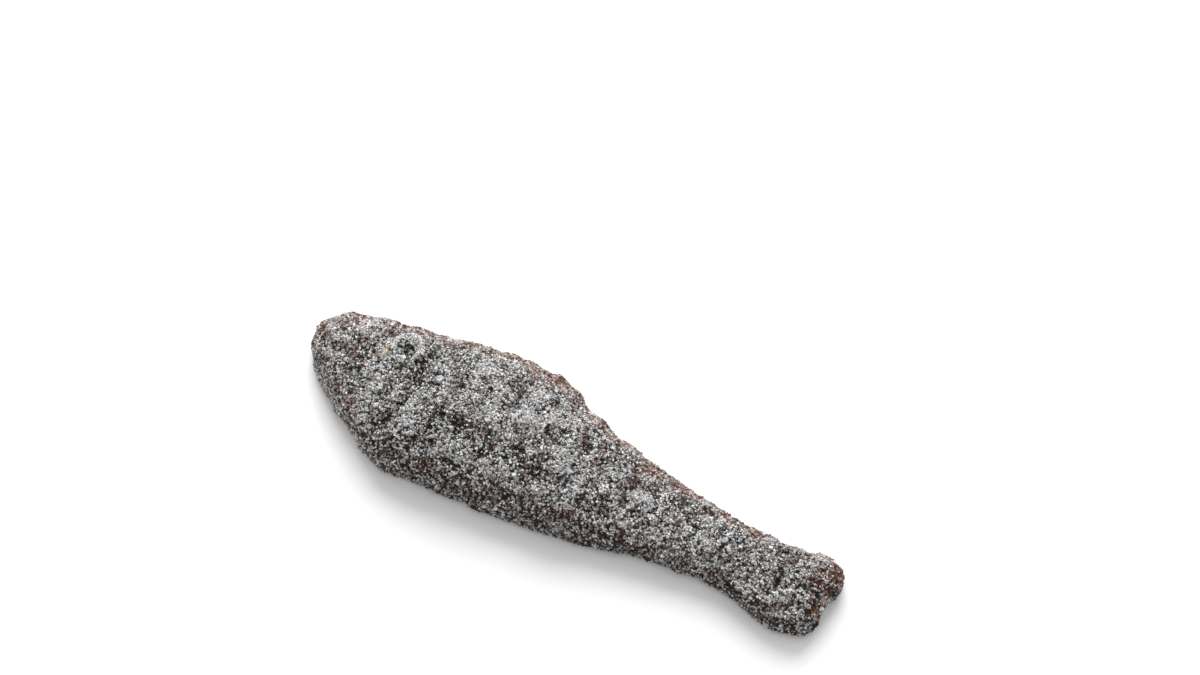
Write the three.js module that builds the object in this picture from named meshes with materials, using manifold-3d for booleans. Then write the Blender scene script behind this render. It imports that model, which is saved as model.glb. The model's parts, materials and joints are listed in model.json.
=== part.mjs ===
// A salted liquorice sweet cast in the shape of a herring: one chewy piece with a flat underside and a
// pillowed top that carries the eye, the mouth, the gill cover, rows of scales and the rays of back fin and
// tail, under a rough crust of crystals.
// Millimetres. The nose points along -X, the back fin along +Y, and the flat underside lies on Z = 0.
import * as THREE from "three";
import { mergeVertices } from "three/addons/utils/BufferGeometryUtils.js";
import Module from "manifold-3d";

// ---- Driving dimensions ----
const LENGTH = 70; // nose to tail tips
const RIM_HEIGHT = 1.0; // the widest line of the side wall, above the underside
const HEEL = 0.9; // how far the wall turns in below that line
const SHOULDER = 2.7; // superellipse exponent of the section: 2 is round, more is boxier

// Thickness of the sweet at stations along its length, from the nose: [distance, thickness].
const THICKNESS = [
  [0, 4.3],
  [6, 5.8],
  [14, 6.9],
  [24, 7.2],
  [34, 6.6],
  [46, 5.3],
  [56, 4.6],
  [63, 4.5],
  [70, 4.1],
];

// The outline seen from above, as smooth runs of [distance from the nose, offset from the long axis].
const NOSE_TIP = [0, 1.2];
const FOREHEAD = [
  [0.5, 3.75],
  [2.0, 5.3],
  [4.6, 6.15],
  [8, 6.95],
  [12, 7.7],
  [16, 8.4],
];
const BACK_FIN = [
  [17.9, 9.25],
  [20.5, 10.0],
  [26, 10.65],
  [30, 10.35],
  [31.9, 9.8],
  [32.8, 8.8],
];
const BACK = [
  [36, 7.85],
  [40, 6.5],
  [45, 5.5],
  [50, 4.9],
  [55, 4.4],
  [60, 4.35],
  [64.5, 4.9],
];
const UPPER_LOBE = [
  [67.4, 5.35],
  [69.4, 4.5],
  [69.95, 2.9],
];
const TAIL_NOTCH = [69.25, 0];
const LOWER_LOBE = [
  [69.4, -2.6],
  [68.4, -4.35],
  [65.8, -5.3],
  [62.6, -5.15],
];
const BELLY = [
  [59.3, -4.35],
  [55, -4.05],
  [50, -4.65],
  [45, -5.6],
  [38.5, -7.4],
  [32, -8.5],
  [24, -9.1],
  [19, -9.6],
  [16.4, -9.95],
  [13.5, -9.3],
];
const THROAT = [
  [10, -7.35],
  [6, -5.2],
  [2.2, -2.4],
  [0.5, -0.4],
];

// The line that the top swells up to, from behind the nose to before the tail.
const SPINE = { front: 6.8, rear: 64.2, offset: 0.25 };

// The mesh: points along each side from nose to tail, and rings from the outline up to the spine.
const SIDE_POINTS = 104;
const TOP_RINGS = 15;
const RING_SPREAD = 0.42; // spaces the rings out, which by angle alone would crowd at the wall
const HEEL_RINGS = 2;
const FAN_SPREAD = 0.1; // keeps the sections apart on the spine where they fan out at nose and tail
const CURVE_STEPS = 100; // measured steps from one point of the outline to the next

// Cast relief on the top.
const EYE = { x: 12.4, y: 3.0, ring: 1.8, ringWidth: 0.55, ringHeight: 0.5, pupil: 0.8, pupilDepth: 0.5 };
const MOUTH = { from: [1.2, 0.3], to: [7.4, -0.5], width: 0.6, depth: 0.6 };
const GILL = {
  x: 4.6,
  y: -0.6,
  radius: 11.2,
  halfAngle: 0.6,
  fade: 0.12,
  width: 0.65,
  depth: 0.55,
  lip: 0.5, // height of the ridge before the groove, as a share of the groove's depth
};
const SCALES = {
  from: 18.5,
  to: 50,
  fadeIn: 1.5,
  fadeOut: 4,
  pitch: 3.3,
  row: 3.6,
  radius: 1.95,
  width: 0.5,
  depth: 0.42,
  margin: 1.6, // plain strip inside the outline
  marginFade: 1,
};
const FIN = {
  front: 17,
  rear: 32.6,
  foot: 8.2, // the line of the back that the fin stands out from
  crown: 0.4, // how far that line bows out in the middle of the fin
  step: 1, // width of the slope down to the fin
  drop: 1.5, // how far the fin lies below the back
  rayPitch: 1.75,
  rayLean: 0.55,
  rayWidth: 0.2,
  rayDepth: 0.25,
};
const TAIL_FAN = { root: 57, fade: 5, hub: 46, rays: 7, spread: 0.2, rayWidth: 0.22, depth: 0.22 };
const TAIL_VALLEY = { from: 60, to: 69, width: 1.3, depth: 0.35 };

// The crust: lumps by layers of noise, [lump size, height], and the largest crystals as blocks.
const LUMPS = [
  [5.2, 0.16],
  [2.4, 0.2],
  [1.25, 0.34],
  [0.7, 0.2],
];
const CRYSTALS = {
  count: 110,
  tries: 6000,
  smallest: 0.5,
  largest: 1.0,
  breadth: [0.6, 0.95], // shares of the length
  height: [0.5, 0.8],
  sunk: 0.22,
  lowest: 1.1,
  apart: 2.1,
};
const SEED = 20417;

// ---- Small helpers ----
const clamp01 = (t) => Math.min(1, Math.max(0, t));
const lerp = (a, b, t) => a + (b - a) * t;
const smoothstep = (from, to, x) => {
  const t = clamp01((x - from) / (to - from));
  return t * t * (3 - 2 * t);
};
const ridge = (distance, width) => Math.exp(-((distance / width) ** 2));

// A repeatable source of numbers from 0 to 1.
function randomSource(seed) {
  let state = seed >>> 0;
  return () => {
    state = (state + 0x6d2b79f5) >>> 0;
    let t = state;
    t = Math.imul(t ^ (t >>> 15), t | 1);
    t ^= t + Math.imul(t ^ (t >>> 7), t | 61);
    return ((t ^ (t >>> 14)) >>> 0) / 4294967296;
  };
}

// The value at x of a smooth curve through [x, value] pairs.
function along(pairs, x) {
  const last = pairs.length - 1;
  if (x <= pairs[0][0]) return pairs[0][1];
  if (x >= pairs[last][0]) return pairs[last][1];
  const i = pairs.findIndex((pair) => pair[0] > x) - 1;
  const slope = (k) => {
    const [before, after] = [pairs[Math.max(0, k - 1)], pairs[Math.min(last, k + 1)]];
    return (after[1] - before[1]) / (after[0] - before[0]);
  };
  const span = pairs[i + 1][0] - pairs[i][0];
  const t = (x - pairs[i][0]) / span;
  const [t2, t3] = [t * t, t * t * t];
  return (
    (2 * t3 - 3 * t2 + 1) * pairs[i][1] +
    (t3 - 2 * t2 + t) * span * slope(i) +
    (3 * t2 - 2 * t3) * pairs[i + 1][1] +
    (t3 - t2) * span * slope(i + 1)
  );
}

// Smooth noise from -1 to 1 at a point, from random values at the corners of a unit lattice.
function noise(x, y, z) {
  const corner = (i, j, k) => {
    let h = Math.imul(i, 374761393) ^ Math.imul(j, 668265263) ^ Math.imul(k, 2147483647) ^ SEED;
    h = Math.imul(h ^ (h >>> 13), 1274126177);
    return (((h ^ (h >>> 16)) >>> 0) / 4294967296) * 2 - 1;
  };
  const [i, j, k] = [x, y, z].map(Math.floor);
  const [u, v, w] = [x - i, y - j, z - k].map((t) => t * t * (3 - 2 * t));
  const edge = (dj, dk) => lerp(corner(i, j + dj, k + dk), corner(i + 1, j + dj, k + dk), u);
  return lerp(lerp(edge(0, 0), edge(1, 0), v), lerp(edge(0, 1), edge(1, 1), v), w);
}

// ---- The fish's form, with x measured from the nose ----
// Distances from the outline to the spine, ring by ring: [share of the way in, share of the height].
function topRings() {
  return Array.from({ length: TOP_RINGS + 1 }, (_, ring) => {
    const angle = (ring / TOP_RINGS) * (Math.PI / 2);
    const inward = lerp(1 - Math.cos(angle), ring / TOP_RINGS, RING_SPREAD);
    const rise = (1 - (1 - inward) ** SHOULDER) ** (1 / SHOULDER);
    return [inward, rise];
  });
}

function eyeRelief(x, y) {
  const r = Math.hypot(x - EYE.x, y - EYE.y);
  const ring = EYE.ringHeight * ridge(r - EYE.ring, EYE.ringWidth);
  return ring - EYE.pupilDepth * ridge(r, EYE.pupil);
}

function mouthRelief(x, y) {
  const [dx, dy] = [MOUTH.to[0] - MOUTH.from[0], MOUTH.to[1] - MOUTH.from[1]];
  const t = clamp01(((x - MOUTH.from[0]) * dx + (y - MOUTH.from[1]) * dy) / (dx * dx + dy * dy));
  const off = Math.hypot(x - MOUTH.from[0] - t * dx, y - MOUTH.from[1] - t * dy);
  return -MOUTH.depth * ridge(off, MOUTH.width);
}

// The edge of the gill cover: a groove on an arc, with a low ridge before it.
function gillRelief(x, y) {
  const angle = Math.atan2(y - GILL.y, x - GILL.x);
  const off = Math.hypot(x - GILL.x, y - GILL.y) - GILL.radius;
  const ends = 1 - smoothstep(GILL.halfAngle, GILL.halfAngle + GILL.fade, Math.abs(angle));
  const lip = GILL.lip * ridge(off + 2 * GILL.width, GILL.width);
  return ends * (lip - ridge(off, GILL.width)) * GILL.depth;
}

// Scales in staggered columns: each is an arc open towards the head.
function scaleRelief(x, y, toOutline) {
  const inside = smoothstep(SCALES.margin, SCALES.margin + SCALES.marginFade, toOutline);
  const begun = smoothstep(SCALES.from, SCALES.from + SCALES.fadeIn, x);
  const ended = smoothstep(SCALES.to - SCALES.fadeOut, SCALES.to, x);
  const shown = inside * begun * (1 - ended);
  if (shown === 0) return 0;
  const column = Math.floor((x - SCALES.from) / SCALES.pitch);
  let groove = 0;
  for (let c = column - 1; c <= column; c++) {
    const shift = c % 2 === 0 ? 0 : 0.5;
    const row = Math.round(y / SCALES.row - shift) + shift;
    const [dx, dy] = [x - (SCALES.from + c * SCALES.pitch), y - row * SCALES.row];
    if (dx > 0) groove = Math.max(groove, ridge(Math.hypot(dx, dy) - SCALES.radius, SCALES.width));
  }
  return -SCALES.depth * groove * shown;
}

// The back fin is a lower terrace outside the line of the back, cut by rays.
function finRelief(x, y) {
  const half = (FIN.rear - FIN.front) / 2;
  const off = (x - FIN.front) / half - 1; // -1 at the front of the fin, 1 at its rear
  if (Math.abs(off) > 1) return 0;
  const foot = FIN.foot + FIN.crown * (1 - off * off);
  const outside = smoothstep(foot - FIN.step / 2, foot + FIN.step / 2, y);
  const phase = (x - FIN.rayLean * (y - FIN.foot)) / FIN.rayPitch;
  const ray = ridge(phase - Math.round(phase), FIN.rayWidth);
  const ends = 1 - smoothstep(0.8, 1, Math.abs(off));
  return -ends * outside * (FIN.drop + FIN.rayDepth * ray);
}

// The tail fin: rays spread from a hub inside the body, and a shallow valley leads to the notch.
function tailRelief(x, y) {
  const onFin = smoothstep(TAIL_FAN.root, TAIL_FAN.root + TAIL_FAN.fade, x);
  const angle = Math.atan2(y, x - TAIL_FAN.hub);
  const phase = (angle / TAIL_FAN.spread) * (TAIL_FAN.rays / 2);
  const ray = ridge(phase - Math.round(phase), TAIL_FAN.rayWidth);
  const valley = ridge(y, TAIL_VALLEY.width) * smoothstep(TAIL_VALLEY.from, TAIL_VALLEY.to, x);
  return -onFin * TAIL_FAN.depth * ray - TAIL_VALLEY.depth * valley;
}

const castRelief = (x, y, toOutline) =>
  eyeRelief(x, y) + mouthRelief(x, y) + gillRelief(x, y) + scaleRelief(x, y, toOutline) + tailRelief(x, y);

// ---- The body ----
// Where a section that starts at x on the outline meets the spine: straight across, and fanned out at nose
// and tail.
function meetingPoint(x) {
  const toTail = LENGTH - x;
  return Math.hypot(x, SPINE.front) - Math.hypot(toTail, LENGTH - SPINE.rear) + toTail;
}

// Points round the outline, each with the point of the spine that its section runs to. A point of the back
// and one of the belly that are as far along their sides share a point of the spine.
function outlineSections() {
  const back = [...FOREHEAD, ...BACK_FIN, ...BACK, ...UPPER_LOBE];
  const runs = [NOSE_TIP, ...back, TAIL_NOTCH, ...LOWER_LOBE, ...BELLY, ...THROAT];
  const curve = new THREE.CatmullRomCurve3(
    runs.map(([x, y]) => new THREE.Vector3(x, y, 0)),
    true,
    "centripetal",
  );
  curve.arcLengthDivisions = runs.length * CURVE_STEPS;
  const lengths = curve.getLengths();
  const toNotch = lengths[(back.length + 1) * CURVE_STEPS] / lengths.at(-1);
  const shares = Array.from({ length: SIDE_POINTS + 1 }, (_, k) => k / SIDE_POINTS);
  const upper = shares.map((share) => curve.getPointAt(share * toNotch));
  const lower = shares.map((share) => curve.getPointAt(1 - share * (1 - toNotch)));
  const spine = shares.map((share, k) => {
    const straight = meetingPoint((upper[k].x + lower[k].x) / 2);
    return lerp(straight, lerp(SPINE.front, SPINE.rear, share), FAN_SPREAD);
  });
  const section = ({ x, y }, k) => {
    const [spineX, spineY] = [spine[k], SPINE.offset];
    return { x, y, spineX, spineY, reach: Math.hypot(spineX - x, spineY - y) };
  };
  return [...lower.map(section).slice(0, -1), ...upper.map(section).slice(1).reverse()];
}

// The rings of the body from the foot of the wall, up over the rim and in to the spine.
function bodyRings(sections) {
  const rings = [];
  for (let step = 0; step < HEEL_RINGS; step++) {
    const angle = (step / HEEL_RINGS) * (Math.PI / 2);
    rings.push(
      sections.map(({ x, y, spineX, spineY, reach }) => {
        const inward = (HEEL * (1 - Math.sin(angle))) / reach;
        const z = RIM_HEIGHT * (1 - Math.cos(angle));
        return new THREE.Vector3(lerp(x, spineX, inward), lerp(y, spineY, inward), z);
      }),
    );
  }
  for (const [inward, rise] of topRings()) {
    rings.push(
      sections.map(({ x, y, spineX, spineY, reach }) => {
        const [px, py] = [lerp(x, spineX, inward), lerp(y, spineY, inward)];
        const crown = along(THICKNESS, px) - RIM_HEIGHT;
        const carved = rise ** 2 * castRelief(px, py, inward * reach) + rise * finRelief(px, py);
        return new THREE.Vector3(px, py, RIM_HEIGHT + crown * rise + carved);
      }),
    );
  }
  return rings;
}

// Triangles between the rings. The last ring lies on the spine, where its two halves meet point for point,
// and the first is closed over by the flat underside.
function bodyGeometry() {
  const rings = bodyRings(outlineSections());
  const n = rings[0].length;
  const index = [];
  for (let r = 0; r + 1 < rings.length; r++) {
    for (let k = 0; k < n; k++) {
      const [a, b] = [r * n + k, r * n + ((k + 1) % n)];
      const [c, d] = [a + n, b + n];
      // The diagonal changes side from one quad to the next, so that the surface has no grain.
      if ((r + k) % 2 === 0) index.push(a, b, d, a, d, c);
      else index.push(a, b, c, b, d, c);
    }
  }
  const foot = rings[0].map(({ x, y }) => new THREE.Vector2(x, y));
  for (const [a, b, c] of THREE.ShapeUtils.triangulateShape(foot, [])) {
    const turn = foot[b].clone().sub(foot[a]).cross(foot[c].clone().sub(foot[a]));
    index.push(...(turn > 0 ? [a, c, b] : [a, b, c]));
  }
  const geometry = new THREE.BufferGeometry().setFromPoints(rings.flat());
  geometry.setIndex(index);
  return roughened(mergeVertices(geometry, 1e-4));
}

// The body with the lumps of the crust pushed out and in along its normals. The flat underside stays flat.
function roughened(geometry) {
  geometry.computeVertexNormals();
  const [position, normal] = [geometry.attributes.position, geometry.attributes.normal];
  const [point, out] = [new THREE.Vector3(), new THREE.Vector3()];
  for (let i = 0; i < position.count; i++) {
    point.fromBufferAttribute(position, i);
    if (point.z < 1e-6) continue;
    out.fromBufferAttribute(normal, i);
    const height = LUMPS.reduce(
      (sum, [size, rise]) => sum + rise * noise(point.x / size, point.y / size, point.z / size),
      0,
    );
    const free = smoothstep(0, RIM_HEIGHT, point.z);
    point.addScaledVector(out, height * free);
    position.setXYZ(i, point.x, point.y, point.z);
  }
  return geometry;
}

// ---- The largest crystals ----
// Blocks of uneven sides, turned at random and sunk in the surface, spread so that no two lie close together.
function crystalGeometries(body) {
  const random = randomSource(SEED);
  const between = (low, high) => lerp(low, high, random());
  const { position, normal } = body.attributes;
  const placed = [];
  const blocks = [];
  for (let tries = 0; tries < CRYSTALS.tries && blocks.length < CRYSTALS.count; tries++) {
    const i = Math.floor(random() * position.count);
    const at = new THREE.Vector3().fromBufferAttribute(position, i);
    if (at.z < CRYSTALS.lowest || placed.some((other) => other.distanceTo(at) < CRYSTALS.apart)) continue;
    placed.push(at.clone());
    // Small crystals are commoner than large ones.
    const size = lerp(CRYSTALS.smallest, CRYSTALS.largest, random() ** 2);
    const breadth = size * between(...CRYSTALS.breadth);
    const block = new THREE.BoxGeometry(size, breadth, size * between(...CRYSTALS.height));
    const turn = new THREE.Euler(between(0, Math.PI), between(0, Math.PI), between(0, Math.PI));
    block.applyMatrix4(new THREE.Matrix4().makeRotationFromEuler(turn));
    const out = new THREE.Vector3().fromBufferAttribute(normal, i);
    at.addScaledVector(out, -CRYSTALS.sunk * size);
    block.translate(at.x, at.y, at.z);
    blocks.push(block);
  }
  return blocks;
}

// ---- One solid ----
const wasm = await Module();
wasm.setup();

function toSolid(geometry) {
  const bare = geometry.clone();
  bare.deleteAttribute("normal");
  bare.deleteAttribute("uv");
  const merged = mergeVertices(bare, 1e-4);
  return new wasm.Manifold(
    new wasm.Mesh({
      numProp: 3,
      vertProperties: merged.attributes.position.array,
      triVerts: new Uint32Array(merged.index.array),
    }),
  );
}

function toGeometry(solid) {
  const mesh = solid.getMesh();
  const geometry = new THREE.BufferGeometry();
  geometry.setAttribute("position", new THREE.BufferAttribute(new Float32Array(mesh.vertProperties), 3));
  geometry.setIndex(new THREE.BufferAttribute(new Uint32Array(mesh.triVerts), 1));
  return geometry;
}

function fishGeometry() {
  const body = bodyGeometry();
  body.computeVertexNormals();
  let solid = toSolid(body);
  for (const block of crystalGeometries(body)) solid = solid.add(toSolid(block));
  const geometry = toGeometry(solid);
  geometry.computeBoundingBox();
  const { min, max } = geometry.boundingBox;
  geometry.translate(-(min.x + max.x) / 2, -(min.y + max.y) / 2, -min.z);
  geometry.computeVertexNormals();
  return geometry;
}

const saltedLiquorice = new THREE.MeshStandardMaterial({ color: 0x6f6a67, roughness: 0.85, metalness: 0 });
const fish = new THREE.Mesh(fishGeometry(), saltedLiquorice);
fish.name = "liquorice_fish";

const sweet = new THREE.Group();
sweet.add(fish);
export default sweet;
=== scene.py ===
"""A salted liquorice sweet in the shape of a herring: the looks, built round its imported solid.

The sweet is one chewy body, near black and reddish brown where it is thin, under a crust of crystals:
smoky, grey, pale and white ones as fine as table salt, dust between them, rough clumps of caked powder, a
few coarse crystals and a streak of amber ones. Lengths are in metres, in the solid's own frame: the nose
points along -X, the back fin along +Y, and the sweet lies on Z = 0.
"""

import json
import math
from typing import NamedTuple

import bmesh
import bpy
import numpy as np
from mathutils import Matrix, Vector

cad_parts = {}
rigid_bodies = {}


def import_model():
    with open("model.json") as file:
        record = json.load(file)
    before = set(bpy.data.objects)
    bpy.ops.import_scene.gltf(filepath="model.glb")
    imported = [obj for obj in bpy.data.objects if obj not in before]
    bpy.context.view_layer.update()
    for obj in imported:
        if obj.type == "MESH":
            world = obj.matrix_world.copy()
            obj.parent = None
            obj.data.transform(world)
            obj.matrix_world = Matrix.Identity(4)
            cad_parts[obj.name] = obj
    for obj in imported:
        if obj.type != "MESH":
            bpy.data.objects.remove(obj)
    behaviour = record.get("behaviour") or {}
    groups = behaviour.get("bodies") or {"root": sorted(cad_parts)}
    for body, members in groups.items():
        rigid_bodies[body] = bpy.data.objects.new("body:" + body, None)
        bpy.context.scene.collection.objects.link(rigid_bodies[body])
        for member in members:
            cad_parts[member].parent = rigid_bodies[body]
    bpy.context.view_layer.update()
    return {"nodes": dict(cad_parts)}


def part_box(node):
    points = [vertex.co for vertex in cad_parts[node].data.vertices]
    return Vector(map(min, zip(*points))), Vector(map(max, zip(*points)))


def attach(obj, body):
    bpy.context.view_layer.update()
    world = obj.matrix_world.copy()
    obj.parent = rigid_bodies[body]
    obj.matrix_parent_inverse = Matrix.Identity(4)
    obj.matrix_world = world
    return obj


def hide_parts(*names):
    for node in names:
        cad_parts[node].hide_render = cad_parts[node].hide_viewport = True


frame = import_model()

bl_info = {
    "name": "Salted Liquorice Fish",
    "version": (1, 0, 0),
    "blender": (4, 5, 0),
    "location": "3D View > Sidebar > Liquorice Fish",
    "description": "Builds a salted liquorice sweet in the shape of a herring, with its crust of crystals",
    "category": "Add Mesh",
}

NODE = "liquorice_fish"
RIDES_ON = "root"
BODY_NAME = "liquorice_body"
MM = 0.001

# Places on the fish in millimetres: distance from the nose, and offset from the long axis to the back.
NOSE_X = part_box(NODE)[0].x
AXIS_Y = -0.35 * MM
LENGTH = (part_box(NODE)[1].x - NOSE_X) / MM
EYE = (12.4, 3.0)
LARGEST_CRYSTAL = (17.8, 1.3)
AMBER_STREAK = ((10.2, 0.7), (10.5, 2.6))

# Patches as (distance from the nose, offset, radius): where powder has clumped, where the crust is thin and
# dark, and where the liquorice shows reddish brown.
WHITE_PATCHES = (
    (2.4, 2.2, 0.9),
    (6.0, 4.2, 1.3),
    (9.6, 2.2, 0.9),
    (16.0, 7.4, 0.9),
    (21.2, 5.2, 1.2),
    (29.6, 1.8, 1.5),
    (33.4, 4.2, 1.0),
    (40.6, 5.7, 0.6),
    (44.8, 0.6, 1.0),
    (51.7, 4.0, 0.7),
    (60.2, 3.6, 0.8),
    (66.2, 4.6, 0.9),
)
DARK_PATCHES = (
    (7.6, -1.7, 1.2),
    (15.4, 0.2, 0.7),
    (21.9, -3.0, 1.1),
    (24.6, -2.6, 1.0),
    (39.4, -3.0, 0.7),
    (41.6, -1.8, 1.0),
    (49.0, 2.4, 0.8),
    (63.8, -0.5, 1.7),
)
BROWN_PATCHES = (
    (1.4, 3.2, 0.6),
    (3.6, 4.2, 0.8),
    (12.2, 6.0, 1.0),
    (18.4, 8.2, 0.9),
    (25.8, 9.2, 1.1),
    (28.4, 9.2, 0.9),
    (30.4, 8.2, 1.2),
    (36.0, 6.2, 1.1),
    (38.5, 5.7, 0.9),
    (44.3, 4.3, 1.4),
    (48.2, 4.2, 1.6),
    (53.9, 3.7, 0.8),
    (58.4, 3.3, 0.8),
    (68.6, 3.2, 0.9),
    (69.0, -1.5, 0.6),
)

# Ranges over which something sets in, from none of it at the first number to all of it at the second.
# Along the fish, in millimetres from the nose:
HEAD = (18.0, 6.0)
BEHIND_HEAD = (8.0, 24.0)
FRONT_HALF = (42.0, 34.0)
TAIL_END = (66.0, LENGTH - 1.0)
# Across it, in millimetres from the long axis to the back:
BACK_HALF = (-1.0, 1.0)
BACK_EDGE = (0.0, 2.0)
BELLY_EDGE = (0.0, -2.0)
# In millimetres above the table:
BELOW_TOP = (6.6, 5.6)
FOOT = (1.9, 0.9)
# By the tilt of the surface, from 0 for level to 1 for upright:
RIM_BEGINS = (0.02, 0.25)
RIM_FADES = (0.4, 0.75)
BACK_SHADE_BEGINS = (0.1, 0.5)
BACK_SHADE_FADES = (0.5, 0.85)
BARE_SHADED_BELLY_BEGINS = (0.05, 0.6)
FOOT_BEGINS = (0.3, 0.6)
# By how far the surface faces up, from -1 for straight down to 1 for straight up:
PATCHED_SIDE = (0.05, 0.45)
EYE_SIDE = (0.0, 0.4)
CLUMPED_SIDE = (-0.2, 0.6)
RIDGED_SIDE = (0.5, 0.9)
UNDERSIDE = (-0.6, -0.95)

# What adds to the powder on the crust and what takes from it, out of 1.
POWDER_WEIGHTS = {
    "everywhere": 0.45,
    "clouds": 0.26,
    "clouds on the front half": 0.22,
    # Powder on ridges, with painted light on them and painted shade in the grooves.
    "ridges and painted groove shade": 0.3,
    "white patches": 0.4,
    "dark patches": -0.36,
    "eye ring": 0.9,
    "eye socket": 0.35,
    "pupil": -0.6,
    # Less powder on the belly walls: partly bare liquorice, partly painted shade.
    "belly wall bare and painted shade": -0.7,
    # Painted shade: the upper back walls are made darker where the lamp behind lights them.
    "back wall painted shade": -0.65,
    "tail end": -0.45,
}
BARE_SHADED_BELLY_AT_HEAD = 0.28
BACK_SHADE_FADING = 0.75

# What adds to the brown of thin or bare liquorice and what takes from it, out of 1.
BROWN_WEIGHTS = {
    "rim": 0.1,
    "ragged rim": 0.15,
    "ragged rim of the head": 0.15,
    "rim of the back": 0.33,
    "ragged rim of the back": 0.37,
    "foot of the head": 0.9,
    "brown patches": 0.65,
    "flecks": 0.3,
    "flecks on the head": 0.1,
    "eye": -1.0,
}
RIM_FADING = 0.85

# The eye, in millimetres: how far each of its parts reaches from its middle, or from the ring's line.
EYE_RING_RADIUS = 1.8
EYE_RING_WIDTH = 0.5
EYE_RING_TOP = (-1.5, 1.0)
SOCKET_REACH = 1.5
BLACK_REACH = 0.9
PUPIL_REACH = 0.5

# Clouds of noise that the crust varies by, as (size of the lumps, seed, layers).
POWDER_CLOUDS = (3.0 * MM, 31, 2)
RAGGED_RIM = (1.6 * MM, 47, 3)
BROWN_FLECKS = (1.0 * MM, 53, 2)
RAGGED_PATCHES = (1.1 * MM, 59, 3)
LUMPY_POWDER = (2.2 * MM, 73, 2)

# The groups of crystals, each with a random draw of its own: the crust's seed plus its place here.
DRAWS = ("fine", "dust", "coarse", "clump")


# ---- Settings ----
def length(name, description, default, low=0.0):
    return bpy.props.FloatProperty(
        name=name, description=description, default=default, min=low, unit="LENGTH", precision=5
    )


def colour(name, description, default):
    return bpy.props.FloatVectorProperty(
        name=name, description=description, default=default, min=0.0, max=1.0, subtype="COLOR"
    )


def share(name, description, default):
    return bpy.props.FloatProperty(
        name=name, description=description, default=default, min=0.0, max=1.0, subtype="FACTOR"
    )


def angle(name, description, degrees):
    return bpy.props.FloatProperty(
        name=name, description=description, default=math.radians(degrees), subtype="ANGLE"
    )


class LiquoriceBodySettings(bpy.types.PropertyGroup):
    cell: length("Mesh cell", "Size of the cells of the body's fine mesh", 0.2 * MM, 0.1 * MM)
    skin: length(
        "Crust thickness",
        "How far the body lies inside the solid's surface, which is the outside of the crust",
        0.13 * MM,
    )
    pit_size: length(
        "Pit size", "Size of the pits in the crust, in which the liquorice shows", 0.25 * MM, 0.1 * MM
    )
    pit_depth: length("Pit depth", "Depth of the pits in the crust", 0.13 * MM)
    liquorice: colour("Liquorice", "Colour of the thick, near-black liquorice", (0.007, 0.005, 0.0042))
    thin: colour(
        "Thin liquorice",
        "Colour of the liquorice at rims and tail, where light comes through it",
        (0.13, 0.043, 0.026),
    )
    powder: colour("Powder", "Colour of the fine powder that clings to the liquorice", (0.22, 0.215, 0.208))


class CrustSettings(bpy.types.PropertyGroup):
    spacing: length("Spacing", "Distance between neighbouring crystals", 0.145 * MM, 0.1 * MM)
    coarse_spacing: length(
        "Coarse spacing", "Distance between neighbouring coarse crystals", 3.6 * MM, 0.5 * MM
    )
    largest: length(
        "Largest crystal", "Longest side of the parts of the largest crystal, behind the eye", 0.62 * MM
    )
    tone: share("Tone", "Tone of the fine crystals on the whole, from smoky to white", 0.63)
    dusting: share("Dusting", "How thickly dust lies between the crystals", 0.5)
    seed: bpy.props.IntProperty(
        name="Seed", description="Number that places and shapes of the crystals are drawn from", default=11
    )


def crystal_settings(title, size, dark, light, rough, soak, sunk, gloss=0.5, tone=None):
    """A PropertyGroup class with the sizes and colours of one kind of crystal.

    The size is (smallest, largest), and only the fine kinds have a tone, which sorts them.
    """
    annotations = {
        "smallest": length("Smallest", "Longest side of the smallest crystals", size[0]),
        "largest": length("Largest", "Longest side of the largest crystals", size[1]),
        "dark": colour("Dark", "Colour of the darkest crystals of this kind", dark),
        "light": colour("Light", "Colour of the lightest crystals of this kind", light),
        "rough": share("Roughness", "Roughness of the crystals' faces", rough),
        "soak": share("Soak", "How much of the liquorice's brown these crystals take up", soak),
        "sunk": share("Sunk", "Share of a crystal's height that is pressed into the liquorice", sunk),
        "gloss": share("Gloss", "Strength of the crystals' reflections", gloss),
    }
    if tone is not None:
        annotations["tone"] = share("Tone", "Tone from which the fine crystals are of this kind", tone)
    return type(title, (bpy.types.PropertyGroup,), {"__annotations__": annotations})


SmokySettings = crystal_settings(
    "SmokyCrystalSettings",
    size=(0.11 * MM, 0.26 * MM),
    dark=(0.006, 0.0045, 0.004),
    light=(0.1, 0.084, 0.075),
    rough=0.45,
    soak=1.0,
    sunk=0.44,
    gloss=0.25,
    tone=0.0,
)
GreySettings = crystal_settings(
    "GreyCrystalSettings",
    size=(0.11 * MM, 0.27 * MM),
    dark=(0.085, 0.079, 0.075),
    light=(0.27, 0.262, 0.255),
    rough=0.35,
    soak=0.85,
    sunk=0.44,
    gloss=0.3,
    tone=0.28,
)
PaleSettings = crystal_settings(
    "PaleCrystalSettings",
    size=(0.11 * MM, 0.28 * MM),
    dark=(0.25, 0.246, 0.243),
    light=(0.48, 0.479, 0.476),
    rough=0.4,
    soak=0.6,
    sunk=0.44,
    gloss=0.18,
    tone=0.5,
)
WhiteSettings = crystal_settings(
    "WhiteCrystalSettings",
    size=(0.11 * MM, 0.28 * MM),
    dark=(0.45, 0.452, 0.452),
    light=(0.73, 0.735, 0.735),
    rough=0.45,
    soak=0.4,
    sunk=0.44,
    gloss=0.12,
    tone=0.72,
)
DustSettings = crystal_settings(
    "DustSettings",
    size=(0.07 * MM, 0.13 * MM),
    dark=(0.2, 0.198, 0.196),
    light=(0.55, 0.548, 0.545),
    rough=0.6,
    soak=0.4,
    sunk=0.1,
)
CoarseSettings = crystal_settings(
    "CoarseCrystalSettings",
    size=(0.34 * MM, 0.6 * MM),
    dark=(0.25, 0.26, 0.265),
    light=(0.52, 0.53, 0.54),
    rough=0.25,
    soak=0.2,
    sunk=0.35,
    gloss=0.4,
)
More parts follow.
